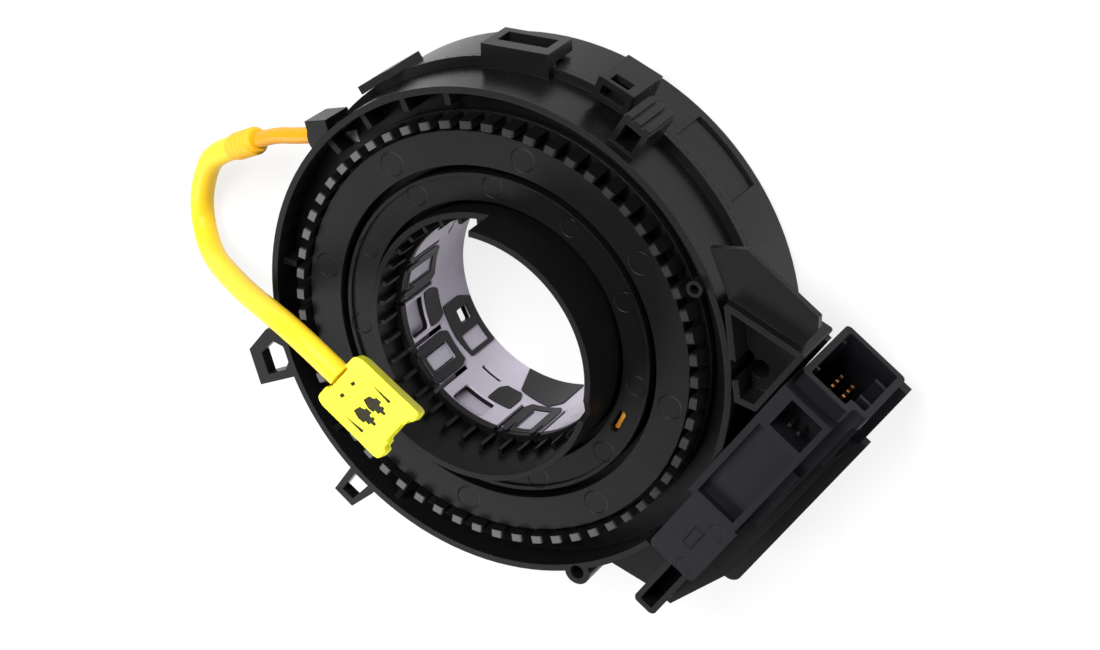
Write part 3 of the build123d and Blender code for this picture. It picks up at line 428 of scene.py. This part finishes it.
# %% [markdown]
# The small pieces inside are seen through windows and mouths: pins, board, ribbon, sheets and a clip.
# They are too small for marks of their own, so one recipe with a soft cloud and a fine grain is enough.

# %% Small finishes
small_gloss = 0.3
metal_gloss = 0.5
small_grain = 0.00002
small_edge = 0.00012
small_rough = 0.1


def plain(name, low, high, roughness, metal=0.0):
    """A finish between two colours, for a small piece."""
    finish = Finish(name, Metallic=metal, Specular_IOR_Level=metal_gloss if metal else small_gloss)
    cloud = finish.noise(scale=220.0, detail=3.0, rough=0.6)
    grit = finish.noise(scale=2600.0)
    finish.feed("Base Color", finish.mix(cloud, low, high))
    finish.feed("Roughness", roughness + grit * small_rough)
    finish.relief(grit * small_grain, small_edge)
    return finish.material


pin_metal = plain("pin_metal", (0.40, 0.17, 0.06, 1), (0.54, 0.26, 0.10, 1), 0.30, metal=1.0)
# The socket's pins are painted near black as painted shade, deep in the socket's recess.
dull_metal = plain("dull_metal", (0.05, 0.045, 0.04, 1), (0.09, 0.08, 0.07, 1), 0.45, metal=1.0)
board_green = plain("board_green", (0.01, 0.07, 0.03, 1), (0.02, 0.12, 0.05, 1), 0.4)
reader_black = plain("reader_black", (0.008, 0.008, 0.01, 1), (0.014, 0.014, 0.018, 1), 0.2)
terminal_grey = plain("terminal_grey", (0.03, 0.03, 0.034, 1), (0.05, 0.05, 0.056, 1), 0.45)
ribbon_film = plain("ribbon_film", (0.50, 0.46, 0.38, 1), (0.60, 0.56, 0.48, 1), 0.3)
slide_film = plain("slide_film", (0.66, 0.64, 0.58, 1), (0.78, 0.76, 0.70, 1), 0.4)
rubber_black = plain("rubber_black", (0.016, 0.016, 0.018, 1), (0.03, 0.03, 0.032, 1), 0.65)
clip_black = plain("clip_black", (0.014, 0.012, 0.004, 1), (0.03, 0.026, 0.009, 1), 0.6)
holder_orange = plain("holder_orange", (0.95, 0.34, 0.02, 1), (1.0, 0.50, 0.05, 1), 0.4)
print("small finishes ready")

# %% [markdown]
# Each solid takes its finish by assigning to its material slots. Its shape and its place aren't touched.
# It could be done solid by solid, but a table with a row for each finish shows which pieces share one.

# %% Give each solid its finish
finishes = {
    case_plastic: ["wheel_case", "column_case"],
    block_plastic: ["sensor_housing", "harness_shroud", "block_cover", "switch_connector"],
    lid_plastic: ["terminal_cover"],
    hub_plastic: ["wheel_rotor"],
    sleeve_plastic: ["column_rotor"],
    ring_plastic: ["slit_ring"],
    board_green: ["sensor_board"],
    reader_black: ["photo_readers"],
    terminal_grey: ["terminal_block"],
    pin_metal: ["harness_terminals", "switch_terminals", "airbag_terminals", "lead_terminals"],
    # The socket's pins take a metal darkened as painted shade.
    dull_metal: ["socket_terminals"],
    ribbon_film: ["flat_cable"],
    slide_film: ["upper_slide_sheet", "lower_slide_sheet"],
    rubber_black: ["lead_grommet"],
    tape_yellow: ["lead_collar"],
    plug_yellow: ["lead_connector", "airbag_connector"],
    clip_black: ["shorting_clip"],
    holder_orange: ["cable_end_holder"],
}
for material, names in finishes.items():
    for name in names:
        for slot in solids[name].material_slots:
            slot.material = material
print("finished solids", sum(len(names) for names in finishes.values()))

# %% [markdown]
# The lead leaves a hood on the case, dips to the table and comes back over the rim to the bore.
# It is one flexible line, so it is a smooth curve whose control points are the corners of its route.
# A chain of straight tubes would look like bent wire, and a swept mesh would be harder to change later.
# The order of the curve and its fixed ends are set after the points, or it would stay made of straight runs.

# %% Lead
core_route = [
    (-0.0513, -0.0009, 0.0183),
    (-0.0552, -0.0056, 0.0180),
    (-0.05913, -0.01012, 0.01648),
    (-0.0619, -0.0157, 0.0143),
]
sheath_route = [
    (-0.06589, -0.02373, 0.01116),
    (-0.06938, -0.03074, 0.00843),
    (-0.0698, -0.0383, 0.0049),
    (-0.0682, -0.0456, 0.0032),
    (-0.0639, -0.0504, 0.0040),
    (-0.0574, -0.0499, 0.0092),
    (-0.0504, -0.0433, 0.0175),
    (-0.0430, -0.0356, 0.0265),
    (-0.0360, -0.0279, 0.0346),
    (-0.0296, -0.0224, 0.0403),
    (-0.0228, -0.0201, 0.0427),
    (-0.0158, -0.0201, 0.0427),
]


def soft_lead(name, route, diameter, material):
    """A round lead along a smooth curve."""
    curve = bpy.data.curves.new(name, "CURVE")
    curve.dimensions = "3D"
    curve.resolution_u = 12
    curve.bevel_depth = diameter / 2
    curve.bevel_resolution = 5
    curve.use_fill_caps = True
    spline = curve.splines.new("NURBS")
    spline.points.add(len(route) - 1)
    for point, place in zip(spline.points, route):
        point.co = (*place, 1.0)
    spline.order_u = 3
    spline.use_endpoint_u = True
    curve.materials.append(material)
    return into_scene(name, curve)


thin_lead = soft_lead("thin_lead", core_route, diameter=0.0032, material=lead_yellow)
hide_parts("lead_core")
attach(thin_lead, "stator")
sheath = soft_lead("sheath", sheath_route, diameter=0.0048, material=sheath_yellow)
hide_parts("lead_sheath")
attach(sheath, "stator")
print("lead pieces", thin_lead.name, sheath.name)

# %% [markdown]
# The plug is a small moulding with round corners, steps and windows, so it is drawn before it is made thick.
# Its outlines are flat lists of corners in millimetres, and a helper rounds each corner with a short arc.
# A bevel modifier could round the finished body too, but it would also round the fine steps of its mouth.

# %% Outlines with round corners
side_share = 2.2


def rounded(points, corner, steps=3):
    """An outline with its corners rounded by short arcs, which leave part of each side straight."""
    result = []
    for before, here, after in zip(points[-1:] + points[:-1], points, points[1:] + points[:1]):
        here, before, after = Vector(here), Vector(before), Vector(after)
        reach = min(corner, (before - here).length / side_share, (after - here).length / side_share)
        start = here + (before - here).normalized() * reach
        stop = here + (after - here).normalized() * reach
        for number in range(steps + 1):
            t = number / steps
            result.append(tuple(start * (1 - t) ** 2 + here * (2 * t * (1 - t)) + stop * t ** 2))
    return result


def box_loop(low, high, bottom, top):
    """The four corners of a rectangle."""
    return [(low, bottom), (high, bottom), (high, top), (low, top)]


print("a square with round corners has", len(rounded(box_loop(0, 1, 0, 1), 0.2)), "points")

# %% [markdown]
# From an outline comes a body: the outline as one face, lifted to its thickness, with its rims rounded.
# The plug's foot is narrower than its top and its front is undercut, as the mould's halves left it.
# Windows are cut with solids that are removed again, because a cut of free form is hard to draw by hand.

# %% Thick plates and cuts
millimetre = 0.001
front_zone = 2.0


def mesh_piece(name, net, material):
    """A net of faces as an object with its finish."""
    bmesh.ops.recalc_face_normals(net, faces=net.faces)
    mesh = bpy.data.meshes.new(name)
    net.to_mesh(mesh)
    net.free()
    mesh.materials.append(material)
    return into_scene(name, mesh)


def thick_plate(name, outline, bottom, top, material, place, bevel=0.0, undercut=0.0, draft=1.0):
    """A flat piece from its outline in plan, in millimetres, with its edges rounded and a narrower foot."""
    front = max(x for x, y in outline)
    net = bmesh.new()
    face = net.faces.new([net.verts.new((x, y, bottom)) for x, y in outline])
    lifted = bmesh.ops.extrude_face_region(net, geom=[face])
    for item in lifted["geom"]:
        if isinstance(item, bmesh.types.BMVert):
            item.co.z = top
    for vert in net.verts:
        if vert.co.z == bottom:
            vert.co.y *= draft
            vert.co.x -= undercut if vert.co.x > front - front_zone else 0
    if bevel:
        rims = [edge for edge in net.edges if edge.verts[0].co.z == edge.verts[1].co.z]
        bmesh.ops.bevel(net, geom=rims, offset=bevel, segments=3, affect="EDGES", profile=0.5)
    bmesh.ops.transform(net, matrix=place @ Matrix.Scale(millimetre, 4), verts=net.verts)
    return mesh_piece(name, net, material)


def carve(piece, cutters):
    """Takes the cutters out of a piece and removes them."""
    for cutter in cutters:
        cut = piece.modifiers.new("cut", "BOOLEAN")
        cut.object = cutter
        cut.solver = "EXACT"
    bpy.context.view_layer.update()
    shape = bpy.data.meshes.new_from_object(piece.evaluated_get(bpy.context.evaluated_depsgraph_get()))
    piece.modifiers.clear()
    piece.data = shape
    for cutter in cutters:
        bpy.data.objects.remove(cutter)


print("plates and cuts ready")

# %% [markdown]
# The plug is the brightest piece of all, so every step of its moulding shows.
# Half of its outline is drawn, from where the lead enters to a horn in front. The other half mirrors it.
# The shape of a window is drawn once too, and stands twice in the top.

# %% Plug's outlines
plug_roll = -29.0
plug_place = Matrix.Translation(sheath_route[-1]) @ Matrix.Rotation(math.radians(plug_roll), 4, "X")
half_plug = 5.9
plug_bottom = -2.6
plug_top = 3.3
window_depth = 1.4
over_cut = 1.0
plug_side = [
    (0.0, 5.2), (1.6, half_plug - 0.1), (10.4, half_plug - 0.1), (14.4, half_plug), (16.4, half_plug),
    (16.4, 3.7), (15.6, 3.5), (15.6, 2.3), (15.1, 2.1),
]
contact_shape = [
    (6.8, 0.7), (7.2, 2.0), (8.2, 2.3), (8.3, 2.7), (9.6, 2.8), (9.7, 2.1), (10.2, 2.1), (10.3, 2.4),
    (10.9, 2.3), (10.9, 1.9), (11.7, 1.8), (11.7, 1.3), (10.8, 1.2), (10.7, 0.7), (9.8, 0.8), (9.7, 0.3),
    (8.5, 0.2),
]
contact_places = (-0.3, -3.0)
lead_recess = [(-1.0, -2.8), (0.8, -2.6), (0.8, 2.6), (-1.0, 2.8)]
recess_floor = -2.0
mouth_bottom, mouth_top = -1.4, 1.2
print("plug", max(x for x, y in plug_side), "mm long and", half_plug * 2, "mm wide")

# %% [markdown]
# What is cut from the plug is one list: the windows of the clip, a mouth for each contact, the lead's recess.
# Both sides have the same cuts, so a function takes the side, -1 or 1, and gives that side's outlines.

# %% Plug's body and its cuts
def plug_cutter(outline, bottom, top):
    """A solid to cut the plug with."""
    return thick_plate("cutter", outline, bottom, top, plug_yellow, plug_place)


def slit_and_dimple(side):
    """The long slit and the small dimple on one side of the plug's top."""
    slit, dimple = side * 3.75, side * 1.5
    return [
        [(5.3, side * 3.95 - 0.3), (7.3, side * 3.85 - 0.35), (10.8, slit - 0.55), (10.8, slit + 0.05)],
        [(2.9, dimple - 0.6), (3.6, dimple - 0.7), (3.8, dimple + 0.1), (3.1, dimple + 0.2)],
    ]


def contact_mouth(side):
    """The opening in the plug's front for one contact."""
    near, far = side * 0.4, side * 3.4
    return plug_cutter([(4.6, near), (18.0, near), (18.0, far), (4.6, far)], mouth_bottom, mouth_top)


plug_outline = rounded(plug_side + [(x, -y) for x, y in reversed(plug_side)], corner=0.9)
plug = thick_plate("plug", plug_outline, plug_bottom, plug_top, plug_yellow, plug_place,
                   bevel=0.28, undercut=1.3, draft=0.82)
window_shapes = [[(x, y + shift) for x, y in contact_shape] for shift in contact_places]
window_shapes += slit_and_dimple(-1) + slit_and_dimple(1)
cutters = [plug_cutter(shape, plug_top - window_depth, plug_top + over_cut) for shape in window_shapes]
cutters += [contact_mouth(-1), contact_mouth(1)]
cutters.append(plug_cutter(lead_recess, recess_floor, plug_top + over_cut))
carve(plug, cutters)
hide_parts("lead_connector")
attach(plug, "stator")
print("plug", len(plug.data.polygons), "faces")

# %% [markdown]
# The dark clip in the plug's windows is one spring on the real part, of which six places show.
# Each is a thin plate of its window's outline, a little below the plug's top, so that the window has a depth.

# %% Clip
clip_sink = 0.25
for number, shape in enumerate(window_shapes):
    clip = thick_plate(f"clip_{number}", shape, plug_top - window_depth, plug_top - clip_sink,
                       clip_black, plug_place)
    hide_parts("shorting_clip")
    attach(clip, "stator")

# %% [markdown]
# The bore is the finest piece of the mould: dark frames with windows stand on its polished wall, painted pale
# as a painted reflection.
# They could be modelled in place, but it is easier to draw them flat and to roll the drawing onto the wall.
# A drawing has degrees round the shaft across and millimetres of height upward. It is cut in narrow strips
# first, so that it follows the curve, and made thick while it is rolled.

# %% Panels for the bore wall
strip_angle = 2.0


def wall_panel(name, outline, holes=(), corner=0.8, back=0.02, front=-0.28, material=panel_plastic):
    """A thin panel. Its back and its front are millimetres outward from the bore's wall."""
    net = bmesh.new()
    edges = []
    for loop in [rounded(outline, corner), *[rounded(hole, corner / 2) for hole in holes]]:
        corners = [net.verts.new((angle, 0.0, height)) for angle, height in loop]
        edges += [net.edges.new(pair) for pair in zip(corners, corners[1:] + corners[:1])]
    bmesh.ops.triangle_fill(net, edges=edges, use_beauty=True)
    first = math.ceil(min(angle for angle, height in outline) / strip_angle)
    last = math.floor(max(angle for angle, height in outline) / strip_angle)
    for number in range(first, last + 1):
        parts = net.verts[:] + net.edges[:] + net.faces[:]
        bmesh.ops.bisect_plane(net, geom=parts, plane_co=(number * strip_angle, 0, 0), plane_no=(1, 0, 0))
    lifted = bmesh.ops.extrude_face_region(net, geom=net.faces[:])
    inside = {item for item in lifted["geom"] if isinstance(item, bmesh.types.BMVert)}
    for vert in net.verts:
        radius = (bore["r_mm"] + (front if vert in inside else back)) / 1000
        turn = math.radians(vert.co.x)
        vert.co = (radius * math.cos(turn), radius * math.sin(turn), vert.co.z / 1000)
    panel = mesh_piece(name, net, material)
    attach(panel, "rotor")
    return panel


print("panels are cut in strips of", strip_angle, "degrees")

# %% [markdown]
# Seven snap windows go round the bore. Each has a frame with cut lower corners, two clasps at its upper end
# and a tab behind its window, painted pale as a painted reflection, which is the tongue that springs when the
# hub is pushed onto its mate.
# They are alike, so one loop draws them from a few half widths and heights, measured from each middle.

# %% Snap frames
snap_angles = (12.0, 60.0, 108.0, 156.0, 204.0, 252.0, 312.0)
frame_half, foot_half = 10.6, 8.4
frame_top, frame_shoulder, frame_foot = 22.0, 13.4, 11.4
window_half, window_low, window_high = 4.75, 13.2, 21.4
clasp_side, clasp_half, clasp_low, clasp_high = 7.7, 1.5, 19.4, 23.3
tab_half, tab_low, tab_high = 3.9, 13.4, 20.6
panels = []
for number, angle in enumerate(snap_angles):
    left, right = angle - frame_half, angle + frame_half
    outline = [
        (left, frame_top), (left, frame_shoulder), (angle - foot_half, frame_foot),
        (angle + foot_half, frame_foot), (right, frame_shoulder), (right, frame_top),
    ]
    window = box_loop(angle - window_half, angle + window_half, window_low, window_high)
    panels.append(wall_panel(f"snap_frame_{number}", outline, [window]))
    for side, side_name in ((-1, "left"), (1, "right")):
        middle = angle + side * clasp_side
        clasp = box_loop(middle - clasp_half, middle + clasp_half, clasp_low, clasp_high)
        panels.append(wall_panel(f"clasp_{number}_{side_name}", clasp, corner=0.3, back=-0.2, front=-0.45))
    # The tab is painted pale as a painted reflection.
    tab = box_loop(angle - tab_half, angle + tab_half, tab_low, tab_high)
    panels.append(wall_panel(f"snap_tab_{number}", tab, corner=0.5, back=0.6, front=0.15,
                             material=tab_plastic))
print("pieces of the snap frames", len(panels))

# %% [markdown]
# Four more panels don't repeat: a low frame with two windows, two with rounded ends and one flat tab below.
# Each is drawn by its corners, because no rule gives their shapes.

# %% Single panels
low_frame = [(232, 10), (232, 4), (236, 0.4), (262, 0.4), (262, 9.2), (250, 10)]
low_windows = [box_loop(238.2, 245.4, 2.6, 6.4), box_loop(250.5, 259.5, 1.8, 8.4)]
rounded_a = [(218.5, 15.5), (218.5, 12.6), (221, 10.6), (235, 10.6), (237, 12.6), (237, 15.5)]
rounded_b = [(283, 15.5), (283, 11.0), (285.5, 9.0), (294, 9.0), (296.5, 11.0), (296.5, 15.5)]
flat_tab = [(286, 0.3), (318, 0.3), (318, 9.0), (312, 11), (292, 8.0)]
panels.append(wall_panel("low_frame", low_frame, low_windows))
panels.append(wall_panel("rounded_panel_a", rounded_a))
panels.append(wall_panel("rounded_panel_b", rounded_b))
panels.append(wall_panel("flat_tab", flat_tab))
print("panels on the bore wall", len(panels))

# %% [markdown]
# The background is plain white, as in a product photograph. More light would bleach the part too,
# so the floor itself looks white, to the camera and in reflections, and still takes a soft shadow.

# %% Floor
floor_half = 3.0
paper_colour = (0.86, 0.86, 0.87, 1)
white_seen, white_mirrored = 0.8, 0.6
floor_corners = [(x, y, 0) for x, y in box_loop(-floor_half, floor_half, -floor_half, floor_half)]
floor_mesh = bpy.data.meshes.new("floor")
floor_mesh.from_pydata(floor_corners, [], [(0, 1, 2, 3)])
floor = into_scene("floor", floor_mesh)
paper = Finish("paper", Base_Color=paper_colour, Roughness=0.9)
white = paper.node("ShaderNodeEmission", {}, {"Color": (1, 1, 1, 1)})
seen = paper.node("ShaderNodeLightPath", output="Is Camera Ray")
mirrored = paper.node("ShaderNodeLightPath", output="Is Glossy Ray")
lit = Tone(paper, paper.shader.outputs[0])
whiteness = seen * white_seen + mirrored * white_mirrored
blend = paper.node("ShaderNodeMixShader", {}, {0: whiteness, 1: lit, 2: white})
paper.tree.links.new(blend.socket, paper.tree.nodes["Material Output"].inputs["Surface"])
floor_mesh.materials.append(paper.material)
print("floor", floor_half * 2, "m wide")

# %% [markdown]
# Three soft lamps light the part: a high key on the camera's side, a strip behind that draws the gloss on
# the plastic, and a weak one for the walls of the block. A faint white world fills the shadows.
# They are at a plain level, at which a colour renders about as it is written.

# %% Lamps and world
lit_point = Vector((0.0, 0.0, 0.02))
world_strength = 0.17


def lamp(name, place, size, power):
    """A soft rectangular lamp that looks at the part."""
    light = bpy.data.lights.new(name, "AREA")
    light.shape = "RECTANGLE"
    light.size, light.size_y = size
    light.energy = power
    stand = into_scene(name, light)
    stand.location = place
    stand.rotation_euler = (lit_point - Vector(place)).to_track_quat("-Z", "Y").to_euler()
    return stand


lamps = [
    lamp("key", (-0.40, 0.45, 0.80), size=(0.5, 0.5), power=13.0),
    lamp("back", (-0.20, -0.85, 0.50), size=(0.7, 0.30), power=6.5),
    lamp("side", (0.75, 0.3, 0.45), size=(0.4, 0.6), power=6.0),
]
world = bpy.data.worlds.new("studio")
world.use_nodes = True
background = world.node_tree.nodes["Background"]
background.inputs["Color"].default_value = (1, 1, 1, 1)
background.inputs["Strength"].default_value = world_strength
bpy.context.scene.world = world
bpy.context.scene.view_settings.view_transform = "Standard"
print("lamps", [stand.name for stand in lamps])
